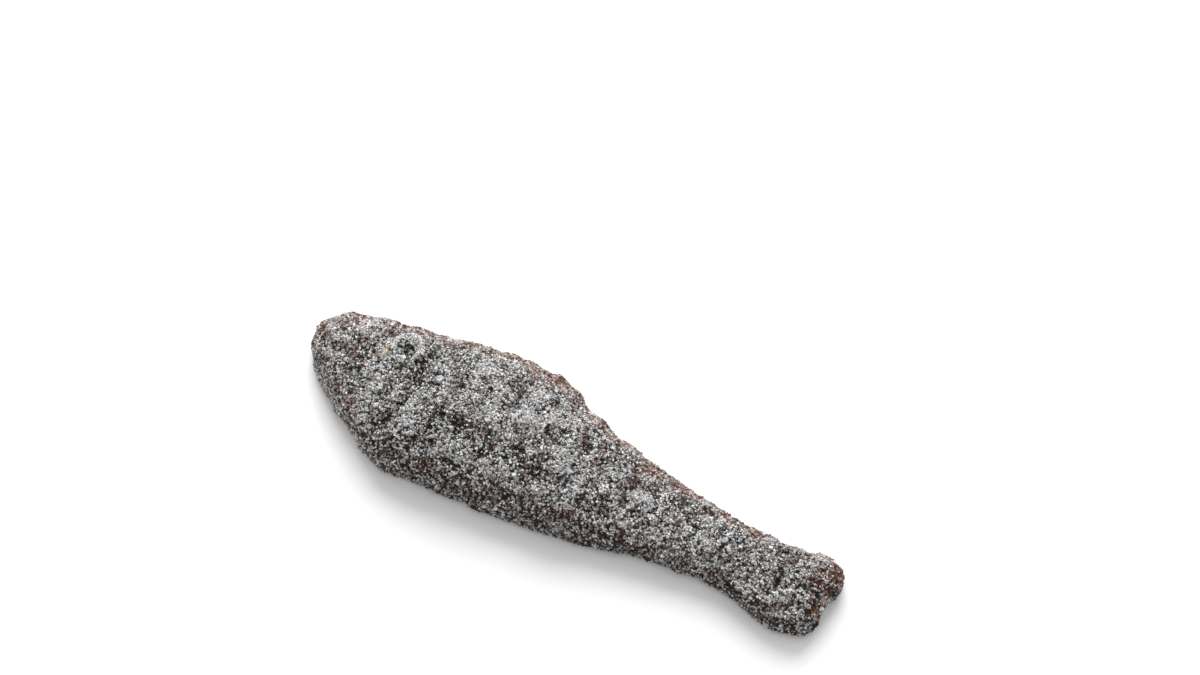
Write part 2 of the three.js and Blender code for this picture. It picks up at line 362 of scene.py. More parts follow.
ClumpSettings = crystal_settings(
    "PowderClumpSettings",
    size=(0.2 * MM, 0.48 * MM),
    dark=(0.22, 0.219, 0.218),
    light=(0.52, 0.523, 0.523),
    rough=0.8,
    soak=0.3,
    sunk=0.42,
    gloss=0.15,
)
AmberSettings = crystal_settings(
    "AmberCrystalSettings",
    size=(0.14 * MM, 0.24 * MM),
    dark=(0.36, 0.2, 0.09),
    light=(0.72, 0.52, 0.3),
    rough=0.25,
    soak=0.0,
    sunk=0.1,
)
FINE_KINDS = ("smoky", "grey", "pale", "white")
KINDS = {
    "smoky": SmokySettings,
    "grey": GreySettings,
    "pale": PaleSettings,
    "white": WhiteSettings,
    "dust": DustSettings,
    "coarse": CoarseSettings,
    "clump": ClumpSettings,
    "amber": AmberSettings,
}


class StudioSettings(bpy.types.PropertyGroup):
    aim: bpy.props.FloatVectorProperty(
        name="Aim",
        description="Point of the floor in the middle of the picture",
        subtype="TRANSLATION",
        default=(-5.4 * MM, 17.9 * MM, 0.0),
    )
    distance: length("Distance", "From the camera to the point it is aimed at", 397.3 * MM)
    azimuth: angle("Azimuth", "Turn of the camera round the sweet, from a look along +Y towards +X", 29.24)
    elevation: angle("Elevation", "How steeply the camera looks down", 62.86)
    lens: bpy.props.FloatProperty(
        name="Focal length",
        description="Of the lens, in millimetres on a 36 mm sensor",
        default=100.0,
        unit="CAMERA",
    )
    key: bpy.props.FloatProperty(
        name="Key light", description="Power of the soft lamp behind the sweet", default=6.2, subtype="POWER"
    )
    key_size: length("Key light's size", "Width of the round lamp", 0.6)
    key_distance: length("Key light's distance", "From the lamp to the sweet", 0.6)
    key_azimuth: angle(
        "Key light's azimuth", "Turn of the lamp round the sweet, measured as the camera's", 208.0
    )
    key_elevation: angle("Key light's elevation", "How steeply the lamp shines down", 31.5)
    fill: bpy.props.FloatProperty(
        name="Fill light", description="Brightness of the white room all round", default=0.73
    )
    floor_width: length("Floor", "Width of the square floor", 3.0)
    paper: colour("Paper", "Colour of the floor's white paper", (0.9, 0.9, 0.9))


# ---- Small helpers ----
def smoothstep(start, end, x):
    """0 where x is at the start to 1 where it is at the end, with soft ends. The end may be the lower."""
    t = np.clip((x - start) / (end - start), 0.0, 1.0)
    return t * t * (3.0 - 2.0 * t)


def fading(distance, reach):
    """1 at no distance, fading to almost nothing at twice the reach."""
    return np.exp(-((distance / reach) ** 2))


def weighted(weights, shares):
    """The sum of the shares times the weights of the same names, kept between 0 and 1."""
    return np.clip(sum(weights[name] * share for name, share in shares.items()), 0.0, 1.0)


def fish_places(points):
    """Distance from the nose and offset from the long axis of some points, in millimetres."""
    return (points[:, 0] - NOSE_X) / MM, (points[:, 1] - AXIS_Y) / MM


# Large numbers that scatter neighbouring cells and seeds of the noise over all values.
AXIS_SCATTER = (73856093, 19349663, 83492791)
SEED_SCATTER = 2654435761
BIT_SCATTER = 0x9E3779B97F4A7C15
BIT_SHIFT = 13
DROPPED_BITS = 40
KEPT_VALUES = 1 << 24


def cell_values(cells, seed):
    """A random number from -1 to 1 for each cell of the noise."""
    mixed = np.uint64(seed * SEED_SCATTER)
    for axis, factor in enumerate(AXIS_SCATTER):
        mixed = mixed ^ cells[:, axis] * np.uint64(factor)
    mixed = (mixed ^ mixed >> np.uint64(BIT_SHIFT)) * np.uint64(BIT_SCATTER)
    return (mixed >> np.uint64(DROPPED_BITS)).astype(float) / float(KEPT_VALUES) * 2.0 - 1.0


def clouds(points, size, seed):
    """Smooth noise from -1 to 1 at some points, in lumps of about the given size in metres."""
    scaled = points / size
    base = np.floor(scaled).astype(np.int64)
    t = scaled - base
    t = t * t * (3.0 - 2.0 * t)
    total = np.zeros(len(points))
    for corner in range(8):
        step = np.array([corner & 1, corner >> 1 & 1, corner >> 2 & 1])
        values = cell_values((base + step).astype(np.uint64), seed)
        total += values * np.prod(np.where(step, t, 1.0 - t), axis=1)
    return total


FINER_HEIGHT = 0.6
LAYERS_GAIN = 1.6


def layered_clouds(points, size, seed, layers):
    """Clouds with finer ones on top, still about -1 to 1."""
    heights = [FINER_HEIGHT**k for k in range(layers)]
    total = sum(height * clouds(points, size / 2**k, seed + k) for k, height in enumerate(heights))
    return total / sum(heights) * LAYERS_GAIN


# ---- Where the crust differs over the fish ----
class Spots(NamedTuple):
    """Places on the fish: points, normals, how far the surface stands up there in millimetres, and how much
    crust covers it there, from 0 in a pit to 1.
    """

    points: np.ndarray
    normals: np.ndarray
    ridge: np.ndarray
    cover: np.ndarray

    @property
    def up(self):
        """How far the surface faces up: -1 on the underside, 0 on an upright wall, 1 on top."""
        return self.normals[:, 2]

    def only(self, kept):
        return Spots(*(values[kept] for values in self))

    def away_from(self, place):
        """How far the spots are from a place on the fish, in millimetres."""
        u, v = fish_places(self.points)
        return np.hypot(u - place[0], v - place[1])


PATCH_EDGE = (1.4, 0.5)
PATCH_RAGGEDNESS = 0.4


def in_patches(spots, patches):
    """0 to 1: how deep the spots lie in any of the patches, which have ragged edges."""
    ragged = PATCH_RAGGEDNESS * layered_clouds(spots.points, *RAGGED_PATCHES)
    depth = np.zeros(len(spots.points))
    for along, across, radius in patches:
        reach = spots.away_from((along, across)) / radius + ragged
        depth = np.maximum(depth, smoothstep(*PATCH_EDGE, reach))
    return depth * smoothstep(*PATCHED_SIDE, spots.up)


def eye_ring(spots):
    """0 to 1: the raised ring over the eye, where powder has caught."""
    _, v = fish_places(spots.points)
    on_ring = fading(spots.away_from(EYE) - EYE_RING_RADIUS, EYE_RING_WIDTH)
    return on_ring * smoothstep(*EYE_RING_TOP, v - EYE[1]) * smoothstep(*EYE_SIDE, spots.up)


def belly_wall_bare_and_shaded(spots):
    """0 to 1: the walls below the belly, with little powder: partly bare liquorice, partly painted shade on
    the side away from the lamp.
    """
    u, v = fish_places(spots.points)
    past_head = BARE_SHADED_BELLY_AT_HEAD + (1.0 - BARE_SHADED_BELLY_AT_HEAD) * smoothstep(*BEHIND_HEAD, u)
    return past_head * smoothstep(*BARE_SHADED_BELLY_BEGINS, 1.0 - spots.up) * smoothstep(*BELLY_EDGE, v)


def back_wall_painted_shade(spots):
    """0 to 1: the upper part of the walls along the back, given less powder as painted shade where the lamp
    behind lights them.
    """
    _, v = fish_places(spots.points)
    tilt = 1.0 - spots.up
    upper = smoothstep(*BACK_SHADE_BEGINS, tilt) - BACK_SHADE_FADING * smoothstep(*BACK_SHADE_FADES, tilt)
    return upper * smoothstep(*BACK_EDGE, v)


CLOUDS_SPREAD = 0.9
RIDGE_HEIGHT = 0.12


def powder_amount(spots):
    """0 to 1: where white powder has caught, in clouds and along what stands up, with less in grooves and on
    the walls, partly as painted shade.
    """
    u, _ = fish_places(spots.points)
    from_eye = spots.away_from(EYE)
    cloudy = smoothstep(-CLOUDS_SPREAD, CLOUDS_SPREAD, layered_clouds(spots.points, *POWDER_CLOUDS)) - 0.5
    # Ridges lighter and grooves darker: powder caught on ridges, with painted light and shade by the relief.
    ridges_and_groove_shade = smoothstep(0.0, RIDGE_HEIGHT, spots.ridge) - smoothstep(0.0, -RIDGE_HEIGHT, spots.ridge)
    shares = {
        "everywhere": 1.0,
        "clouds": cloudy,
        "clouds on the front half": cloudy * smoothstep(*FRONT_HALF, u),
        "ridges and painted groove shade": ridges_and_groove_shade,
        "white patches": in_patches(spots, WHITE_PATCHES),
        "dark patches": in_patches(spots, DARK_PATCHES),
        "eye ring": eye_ring(spots),
        "eye socket": fading(from_eye, SOCKET_REACH),
        "pupil": fading(from_eye, PUPIL_REACH),
        "belly wall bare and painted shade": belly_wall_bare_and_shaded(spots),
        "back wall painted shade": back_wall_painted_shade(spots),
        "tail end": smoothstep(*TAIL_END, u),
    }
    return weighted(POWDER_WEIGHTS, shares)


RAGGED_SPREAD = (-0.6, 0.6)
FLECKS_SPREAD = (0.1, 0.7)


def thinness(spots):
    """0 to 1: where the liquorice is thin or bare, so that it shows reddish brown."""
    u, v = fish_places(spots.points)
    height = spots.points[:, 2] / MM
    tilt = 1.0 - spots.up
    head = smoothstep(*HEAD, u)
    back = smoothstep(*BACK_HALF, v)
    ragged = smoothstep(*RAGGED_SPREAD, layered_clouds(spots.points, *RAGGED_RIM))
    flecks = smoothstep(*FLECKS_SPREAD, layered_clouds(spots.points, *BROWN_FLECKS))
    rim = smoothstep(*RIM_BEGINS, tilt) * (1.0 - RIM_FADING * smoothstep(*RIM_FADES, tilt))
    rim *= smoothstep(*BELOW_TOP, height)
    foot = smoothstep(*FOOT, height) * smoothstep(*FOOT_BEGINS, tilt)
    shares = {
        "rim": rim,
        "ragged rim": rim * ragged,
        "ragged rim of the head": rim * ragged * head,
        "rim of the back": rim * back,
        "ragged rim of the back": rim * ragged * back,
        "foot of the head": foot * ragged * head,
        "brown patches": in_patches(spots, BROWN_PATCHES),
        "flecks": flecks,
        "flecks on the head": flecks * head,
        "eye": fading(spots.away_from(EYE), BLACK_REACH),
    }
    return weighted(BROWN_WEIGHTS, shares)


PIT_SEED = 7
SMALL_PIT_SEED = 9
SMALL_PITS = 0.6
PIT_LEVEL = -0.02
PITS_FILLED = 0.46
PIT_FOOT = 0.3
PIT_BRIM = 0.25


def crust_cover(points, powder, pit_size):
    """0 in a pit of the crust to 1 on it: pits are fewer where there is more powder."""
    lumps = clouds(points, pit_size, PIT_SEED) + SMALL_PITS * clouds(points, pit_size / 2, SMALL_PIT_SEED)
    level = PIT_LEVEL - PITS_FILLED * powder
    return smoothstep(level - PIT_FOOT, level + PIT_BRIM, lumps)


# ---- Meshes ----
def read_rows(items, name):
    """A field of three numbers of all of a mesh's items, as an array of rows."""
    values = np.empty(len(items) * 3, np.float32)
    items.foreach_get(name, values)
    return values.reshape(-1, 3).astype(float)


def write_points(mesh, points):
    mesh.vertices.foreach_set("co", points.astype(np.float32).ravel())
    mesh.update()


def read_values(mesh, name):
    """A named value of all of a mesh's vertices."""
    values = np.empty(len(mesh.vertices), np.float32)
    mesh.attributes[name].data.foreach_get("value", values)
    return values.astype(float)


def write_values(mesh, name, values):
    attribute = mesh.attributes.new(name, "FLOAT", "POINT")
    attribute.data.foreach_set("value", values.astype(np.float32))


def shade_smooth(mesh):
    mesh.polygons.foreach_set("use_smooth", np.ones(len(mesh.polygons), bool))


def neighbours_mean(points, edges, counts):
    """The middle of each vertex's neighbours."""
    total = np.zeros_like(points)
    for axis in range(points.shape[1]):
        column = points[:, axis]
        total[:, axis] = np.bincount(edges[:, 0], column[edges[:, 1]], len(points))
        total[:, axis] += np.bincount(edges[:, 1], column[edges[:, 0]], len(points))
    return total / counts[:, None]


def smoothed(points, edges, rounds, swelling):
    """Points moved halfway to the middle of their neighbours and some way back, some rounds over."""
    counts = np.bincount(edges.ravel(), minlength=len(points)).astype(float)
    for _ in range(rounds):
        for pull in (0.5, -swelling):
            points = points + pull * (neighbours_mean(points, edges, counts) - points)
    return points


def fine_copy(node, cell):
    """A mesh of small even quads that follows a node's surface."""
    scene_object = bpy.data.objects.new("fine_copy", frame["nodes"][node].data.copy())
    bpy.context.scene.collection.objects.link(scene_object)
    remesh = scene_object.modifiers.new("fine", "REMESH")
    remesh.mode = "VOXEL"
    remesh.voxel_size = cell
    remesh.adaptivity = 0.0
    bpy.context.view_layer.update()
    evaluated = scene_object.evaluated_get(bpy.context.evaluated_depsgraph_get())
    mesh = bpy.data.meshes.new_from_object(evaluated)
    coarse = scene_object.data
    bpy.data.objects.remove(scene_object)
    bpy.data.meshes.remove(coarse)
    mesh.materials.clear()
    return mesh


FACET_ROUNDS = 5
FACET_SWELLING = 0.52
RIDGE_ROUNDS = 40
POWDER_IN_PITS = 0.25


def body_mesh(settings):
    """The body: the solid's form with its facets smoothed away and the crust's fine relief on it."""
    mesh = fine_copy(NODE, settings.cell)
    edges = np.empty(len(mesh.edges) * 2, np.int32)
    mesh.edges.foreach_get("vertices", edges)
    edges = edges.reshape(-1, 2)
    points = smoothed(read_rows(mesh.vertices, "co"), edges, FACET_ROUNDS, FACET_SWELLING)
    write_points(mesh, points)
    normals = read_rows(mesh.vertex_normals, "vector")
    broad = smoothed(points, edges, RIDGE_ROUNDS, swelling=0.0)
    ridge = np.einsum("ij,ij->i", points - broad, normals) / MM * smoothstep(*RIDGED_SIDE, normals[:, 2])

    spots = Spots(points, normals, ridge, np.ones(len(ridge)))
    powder = powder_amount(spots)
    cover = crust_cover(points, powder, settings.pit_size)
    height = settings.pit_depth * (cover - 1.0) - settings.skin
    points = points + normals * height[:, None]
    points[:, 2] = np.maximum(points[:, 2], settings.skin)
    write_points(mesh, points)
    write_values(mesh, "ridge", ridge)
    write_values(mesh, "thin", thinness(spots))
    # The powder carries painted shade: less of it in grooves, on the belly walls and on the upper back
    # walls.
    write_values(mesh, "powder", powder * (POWDER_IN_PITS + (1.0 - POWDER_IN_PITS) * cover))
    shade_smooth(mesh)
    return mesh


DRAWS_PER_CELL = 4.0
MOST_CELLS_ACROSS = 4096


def surface_spots(mesh, spacing, random):
    """Spots spread over a mesh about a spacing apart."""
    mesh.calc_loop_triangles()
    corners = np.empty(len(mesh.loop_triangles) * 3, np.int32)
    mesh.loop_triangles.foreach_get("vertices", corners)
    corners = corners.reshape(-1, 3)
    points = read_rows(mesh.vertices, "co")
    normals = read_rows(mesh.vertex_normals, "vector")
    ridge = read_values(mesh, "ridge")

    # More spots than are needed, drawn evenly over the triangles.
    a, b, c = (points[corners[:, k]] for k in range(3))
    areas = np.linalg.norm(np.cross(b - a, c - a), axis=1) / 2.0
    drawn = int(areas.sum() / spacing**2 * DRAWS_PER_CELL)
    chosen = np.searchsorted(np.cumsum(areas), random.random_sample(drawn) * areas.sum())
    r, s = np.sqrt(random.random_sample(drawn)), random.random_sample(drawn)
    weights = np.stack([1.0 - r, r * (1.0 - s), r * s], axis=1)
    at = corners[np.minimum(chosen, len(corners) - 1)]
    spots = np.einsum("ij,ijk->ik", weights, points[at])

    # The first spot in each cubic cell is kept, and of those once more with the cells half a cell on.
    for offset in (0.0, 0.5):
        cells = np.floor(spots / spacing + offset).astype(np.int64)
        keys = (cells[:, 0] * MOST_CELLS_ACROSS + cells[:, 1]) * MOST_CELLS_ACROSS + cells[:, 2]
        first = np.sort(np.unique(keys, return_index=True)[1])
        spots, at, weights = spots[first], at[first], weights[first]
    out = np.einsum("ij,ijk->ik", weights, normals[at])
    out /= np.linalg.norm(out, axis=1)[:, None]
    return Spots(spots, out, np.einsum("ij,ij->i", weights, ridge[at]), np.ones(len(spots)))


def crust_spots(spacing, random):
    """Spots spread over the body, with how much crust covers it at each."""
    body = bpy.context.scene.liquorice_body
    spots = surface_spots(body_piece().data, spacing, random)
    outside = spots.points + spots.normals * body.skin
    return spots._replace(cover=crust_cover(outside, powder_amount(spots), body.pit_size))


def nearest(spots, place, count):
    """The indices of the spots on the upper side that are nearest to a place on the fish."""
    away = spots.away_from(place) + np.where(spots.up > 0.0, 0.0, LENGTH)
    return np.argsort(away)[:count]


def random_turns(count, random):
    """Rotation matrices spread evenly over all turns."""
    quaternions = random.normal(size=(count, 4))
    w, x, y, z = (quaternions / np.linalg.norm(quaternions, axis=1)[:, None]).T
    rows = [
        [1 - 2 * (y * y + z * z), 2 * (x * y - z * w), 2 * (x * z + y * w)],
        [2 * (x * y + z * w), 1 - 2 * (x * x + z * z), 2 * (y * z - x * w)],
        [2 * (x * z - y * w), 2 * (y * z + x * w), 1 - 2 * (x * x + y * y)],
    ]
    return np.array(rows).transpose(2, 0, 1)


# Shapes of crystals, as (corners, faces), about one unit across.
BLOCK = (
    np.array([[x, y, z] for x in (-0.5, 0.5) for y in (-0.5, 0.5) for z in (-0.5, 0.5)]),
    np.array(
        [
            (0, 1, 3), (0, 3, 2), (4, 6, 7), (4, 7, 5), (0, 4, 5), (0, 5, 1),
            (2, 3, 7), (2, 7, 6), (0, 2, 6), (0, 6, 4), (1, 5, 7), (1, 7, 3),
        ]
    ),
)
GRAIN_RADIUS = 0.6
GRAIN = (
    np.array([[1, 0, 0], [-1, 0, 0], [0, 1, 0], [0, -1, 0], [0, 0, 1], [0, 0, -1]]) * GRAIN_RADIUS,
    np.array(
        [(0, 2, 4), (2, 1, 4), (1, 3, 4), (3, 0, 4), (2, 0, 5), (1, 2, 5), (3, 1, 5), (0, 3, 5)]
    ),
)


def round_lump():
    """Corners and faces of a round lump, one unit across."""
    form = bmesh.new()
    bmesh.ops.create_icosphere(form, subdivisions=2, radius=0.5)
    corners = np.array([corner.co for corner in form.verts])
    faces = np.array([[corner.index for corner in face.verts] for face in form.faces])
    form.free()
    return corners, faces


UNEVENNESS = 0.28
FLATTEST = 0.62
LEAST_STAIN = 0.2


def crystals_mesh(name, kind, spots, sizes, shades, shape, random):
    """One mesh of crystals: uneven copies of a shape, turned at random and sunk in at their spots."""
    corners, faces = shape
    count = len(sizes)
    uneven = corners[None] * (1.0 + random.uniform(-UNEVENNESS, UNEVENNESS, (count, len(corners), 3)))
    stretch = random.uniform(FLATTEST, 1.0, (count, 1, 3))
    stretch /= stretch.max(axis=2, keepdims=True)
    local = np.einsum("nij,nvj->nvi", random_turns(count, random), uneven * stretch)
    centres = spots.points + spots.normals * (sizes * (0.5 - kind.sunk))[:, None]
    points = local * sizes[:, None, None] + centres[:, None, :]
    points[:, :, 2] = np.maximum(points[:, :, 2], 0.0)
    triangles = faces[None] + (np.arange(count) * len(corners))[:, None, None]
    mesh = bpy.data.meshes.new(name)
    mesh.from_pydata(points.reshape(-1, 3).tolist(), [], triangles.reshape(-1, 3).tolist())
    stains = kind.soak * thinness(spots) * random.uniform(LEAST_STAIN, 1.0, count)
    write_values(mesh, "shade", np.repeat(shades, len(corners)))
    write_values(mesh, "stain", np.repeat(stains, len(corners)))
    lay_out_faces(mesh)
    return mesh


UV_MARGIN = 0.08
UV_REACH = 0.8


def lay_out_faces(mesh):
    """A UV map in which every triangle has its own place, two to a square, in the order of the faces."""
    count = len(mesh.polygons)
    side = math.ceil(math.sqrt(math.ceil(count / 2)))
    square = np.arange(count) // 2
    low = np.array([[UV_MARGIN, UV_MARGIN], [UV_REACH, UV_MARGIN], [UV_MARGIN, UV_REACH]])
    local = np.where((np.arange(count) % 2 == 0)[:, None, None], low, 1.0 - low)
    corner = np.stack([square % side, square // side], axis=1)[:, None, :]
    layer = mesh.uv_layers.new(name="OFBake")
    layer.data.foreach_set("uv", ((corner + local) / side).astype(np.float32).ravel())


def add_piece(name, mesh, material):
    piece = bpy.data.objects.new(name, mesh)
    bpy.context.scene.collection.objects.link(piece)
    mesh.materials.append(material)
    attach(piece, RIDES_ON)
    return piece


# ---- Materials ----
# Scales of the noise in the materials, in lumps a metre.
CLOUDY_CRYSTAL = 5200.0
WARM_AND_COOL = 800.0
BROWN_BLOTCHES = 1800.0
POWDER_GRAINS = 4200.0

STAINED = (0.25, 0.1, 0.06)
WARM_SALT = (1.0, 0.977, 0.948)
COOL_SALT = (0.97, 0.988, 1.0)
SALT_IOR = 1.54
LIQUORICE_GLOSS = 0.15
BARE_ROUGHNESS = 0.42
POWDERED_ROUGHNESS = 0.85
BUMP_STRENGTH = 0.5
BUMP_HEIGHT = 0.06 * MM

# Of the sockets of a Mix node, those for colours.
COLOUR_A = 6
COLOUR_B = 7
COLOUR_OUT = 2


def opaque(colour):
    return (*colour, 1.0)


def new_material(name):
    material = bpy.data.materials.new(name)
    material.use_nodes = True
    return material, material.node_tree, material.node_tree.nodes["Principled BSDF"]


def new_group(name, inputs, outputs):
    """An empty shader node group with its sockets, given as (name, socket type, default)."""
    tree = bpy.data.node_groups.new(name, "ShaderNodeTree")
    for title, kind, value in inputs:
        socket = tree.interface.new_socket(title, in_out="INPUT", socket_type=kind)
        socket.default_value = value
    for title, kind in outputs:
        tree.interface.new_socket(title, in_out="OUTPUT", socket_type=kind)
    return tree, tree.nodes.new("NodeGroupInput"), tree.nodes.new("NodeGroupOutput")


def noise(tree, scale, detail, rough=0.5):
    """Noise that is fixed to the object, with its scale in lumps a metre."""
    where = tree.nodes.new("ShaderNodeTexCoord")
    node = tree.nodes.new("ShaderNodeTexNoise")
    node.inputs["Scale"].default_value = scale
    node.inputs["Detail"].default_value = detail
    node.inputs["Roughness"].default_value = rough
    tree.links.new(where.outputs["Object"], node.inputs["Vector"])
    return node.outputs["Fac"]


def own_value(tree, name):
    """The value that the mesh's vertices carry under a name."""
    node = tree.nodes.new("ShaderNodeAttribute")
    node.attribute_name = name
    return node.outputs["Fac"]


def map_range(tree, source, low, high, to_low=0.0, to_high=1.0):
    node = tree.nodes.new("ShaderNodeMapRange")
    for title, value in {"From Min": low, "From Max": high, "To Min": to_low, "To Max": to_high}.items():
        node.inputs[title].default_value = value
    tree.links.new(source, node.inputs["Value"])
    return node.outputs["Result"]


def combined(tree, operation, a, b):
    """The sum or the product of two outputs, kept between 0 and 1."""
    node = tree.nodes.new("ShaderNodeMath")
    node.operation = operation
    node.use_clamp = True
    tree.links.new(a, node.inputs[0])
    tree.links.new(b, node.inputs[1])
    return node.outputs[0]


def colour_mix(tree, factor, a, b, blend="MIX"):
    """A mix of two colours, where the factor and the colours are outputs or plain values."""
    node = tree.nodes.new("ShaderNodeMix")
    node.data_type = "RGBA"
    node.blend_type = blend
    for title, value in (("Factor", factor), (COLOUR_A, a), (COLOUR_B, b)):
        if isinstance(value, bpy.types.NodeSocket):
            tree.links.new(value, node.inputs[title])
        else:
            node.inputs[title].default_value = value
    return node.outputs[COLOUR_OUT]


def crystal_shade_group():
    """Colour and roughness of a crystal, from its own shade and the cloudy patches inside it."""
    name = "Crystal shade"
    if name in bpy.data.node_groups:
        return bpy.data.node_groups[name]
    tree, inside, outside = new_group(
        name,
        [
            ("Shade", "NodeSocketFloat", 0.5),
            ("Stain", "NodeSocketFloat", 0.0),
            ("Dark", "NodeSocketColor", (0.1, 0.1, 0.1, 1.0)),
            ("Light", "NodeSocketColor", (0.8, 0.8, 0.8, 1.0)),
            ("Stained", "NodeSocketColor", opaque(STAINED)),
            ("Roughness", "NodeSocketFloat", 0.3),
        ],
        [("Color", "NodeSocketColor"), ("Roughness", "NodeSocketFloat")],
    )
    given = inside.outputs
    cloudy = noise(tree, CLOUDY_CRYSTAL, 1.0)
    shade = combined(tree, "ADD", given["Shade"], map_range(tree, cloudy, 0.3, 0.7, -0.22, 0.22))
    clean = colour_mix(tree, shade, given["Dark"], given["Light"])
    stained = colour_mix(tree, given["Stain"], clean, given["Stained"])
    tinge = map_range(tree, noise(tree, WARM_AND_COOL, 1.0), 0.35, 0.65)
    tint = colour_mix(tree, tinge, opaque(WARM_SALT), opaque(COOL_SALT))
    tree.links.new(colour_mix(tree, 1.0, stained, tint, "MULTIPLY"), outside.inputs["Color"])
    rougher = map_range(tree, cloudy, 0.35, 0.75, -0.1, 0.25)
    tree.links.new(combined(tree, "ADD", given["Roughness"], rougher), outside.inputs["Roughness"])
    return tree


def crystal_material(name, kind):
    """Clouded salt between the kind's dark and light, stained brown where the liquorice has soaked in."""
    material, tree, shader = new_material(name)
    shade = tree.nodes.new("ShaderNodeGroup")
    shade.node_tree = crystal_shade_group()
    tree.links.new(own_value(tree, "shade"), shade.inputs["Shade"])
    tree.links.new(own_value(tree, "stain"), shade.inputs["Stain"])
    shade.inputs["Dark"].default_value = opaque(kind.dark)
    shade.inputs["Light"].default_value = opaque(kind.light)
    shade.inputs["Roughness"].default_value = kind.rough
    tree.links.new(shade.outputs["Color"], shader.inputs["Base Color"])
    tree.links.new(shade.outputs["Roughness"], shader.inputs["Roughness"])
    shader.inputs["IOR"].default_value = SALT_IOR
    shader.inputs["Specular IOR Level"].default_value = kind.gloss
    return material


def liquorice_material(settings):
    """Near-black chewy liquorice that reddens where it is thin, with powder caught in its fine relief."""
    material, tree, shader = new_material("liquorice")
    blotches = map_range(tree, noise(tree, BROWN_BLOTCHES, 3.0, 0.6), 0.4, 0.6, 0.1, 1.3)
    reddened = combined(tree, "MULTIPLY", own_value(tree, "thin"), blotches)
    chewy = colour_mix(tree, reddened, opaque(settings.liquorice), opaque(settings.thin))

    grains = noise(tree, POWDER_GRAINS, 2.0, 0.6)
    caught = combined(tree, "MULTIPLY", map_range(tree, grains, 0.42, 0.6), own_value(tree, "powder"))
    powdered = colour_mix(tree, caught, chewy, opaque(settings.powder))
    rough = map_range(tree, caught, 0.0, 1.0, BARE_ROUGHNESS, POWDERED_ROUGHNESS)
    tree.links.new(powdered, shader.inputs["Base Color"])
    tree.links.new(rough, shader.inputs["Roughness"])
    shader.inputs["Specular IOR Level"].default_value = LIQUORICE_GLOSS

    bump = tree.nodes.new("ShaderNodeBump")
    bump.inputs["Strength"].default_value = BUMP_STRENGTH
    bump.inputs["Distance"].default_value = BUMP_HEIGHT
    tree.links.new(grains, bump.inputs["Height"])
    tree.links.new(bump.outputs["Normal"], shader.inputs["Normal"])
    return material


# ---- Operators ----
class LIQUORICE_OT_body(bpy.types.Operator):
    """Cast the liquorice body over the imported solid"""

    bl_idname = "liquorice.body"
    bl_label = "Body"

    def execute(self, context):
        settings = context.scene.liquorice_body
        piece = add_piece(BODY_NAME, body_mesh(settings), liquorice_material(settings))
        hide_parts(NODE)
        return {"FINISHED"}


def body_piece():
    if BODY_NAME not in bpy.data.objects:
        raise RuntimeError("The crust needs the body: make the body first")
    return bpy.data.objects[BODY_NAME]


def own_draw(name):
    """The random numbers of one group of crystals."""
    return np.random.RandomState(bpy.context.scene.liquorice_crust.seed + DRAWS.index(name))


SIZE_SPREAD = (1.6, 2.4)


def sizes_of(kind, count, random):
    """Sizes between the kind's smallest and largest, with small ones the commoner."""
    return kind.smallest + (kind.largest - kind.smallest) * random.beta(*SIZE_SPREAD, count)


def kept_by_odds(odds, random):
    """True for each spot that is kept, drawn by its odds from 0 to 1."""
    return random.random_sample(len(odds)) < odds


# How the fine crystals vary: how many lie in pits and on the underside, and what changes their tone.
ODDS_IN_PITS = 0.06
UNDERSIDE_BARED = 0.6
TONE_OF_POWDER = 0.4
TONE_OF_CLOUDS = 0.12
TONE_CLOUD_SIZE = 0.3 * MM
TONE_CLOUD_SEED = 21
TONE_SPREAD = 0.3
TONE_LOST_IN_PITS = 0.5


class LIQUORICE_OT_fine_crust(bpy.types.Operator):
    """Roll the body in smoky, grey, pale and white crystals as fine as table salt"""

    bl_idname = "liquorice.fine_crust"
    bl_label = "Fine crystals"

    def execute(self, context):
        crust = context.scene.liquorice_crust
        random = own_draw("fine")
        spots = crust_spots(crust.spacing, random)
        odds = ODDS_IN_PITS + (1.0 - ODDS_IN_PITS) * spots.cover
        odds *= 1.0 - UNDERSIDE_BARED * smoothstep(*UNDERSIDE, spots.up)
        spots = spots.only(kept_by_odds(odds, random))

        # The powder amount darkens the tone as painted shade in grooves and on the belly and back walls.
        tones = crust.tone + TONE_OF_POWDER * (powder_amount(spots) - 0.5)
        tones += TONE_OF_CLOUDS * clouds(spots.points, TONE_CLOUD_SIZE, TONE_CLOUD_SEED)
        tones += random.normal(0.0, TONE_SPREAD, len(tones)) - TONE_LOST_IN_PITS * (1.0 - spots.cover)
        kinds = [getattr(context.scene, f"liquorice_{name}") for name in FINE_KINDS]
        limits = [kind.tone for kind in kinds] + [1.0]
        kind_of = np.clip(np.searchsorted(limits, tones) - 1, 0, len(kinds) - 1)
        for index, (name, kind) in enumerate(zip(FINE_KINDS, kinds)):
            here = kind_of == index
            shades = np.clip((tones[here] - limits[index]) / (limits[index + 1] - limits[index]), 0.0, 1.0)
            sizes = sizes_of(kind, int(here.sum()), random)
            piece_name = f"{name}_crystals"
            mesh = crystals_mesh(piece_name, kind, spots.only(here), sizes, shades, BLOCK, random)
            add_piece(piece_name, mesh, crystal_material(f"{name} crystal", kind))
        return {"FINISHED"}


# How the dust varies: its odds where there is no powder and what powder adds, and its shades.
DUST_ODDS_BARE = 0.2
DUST_ODDS_OF_POWDER = 0.9
DUST_SHADE_OF_POWDER = 0.4
DUST_SHADES = (0.3, 0.25)


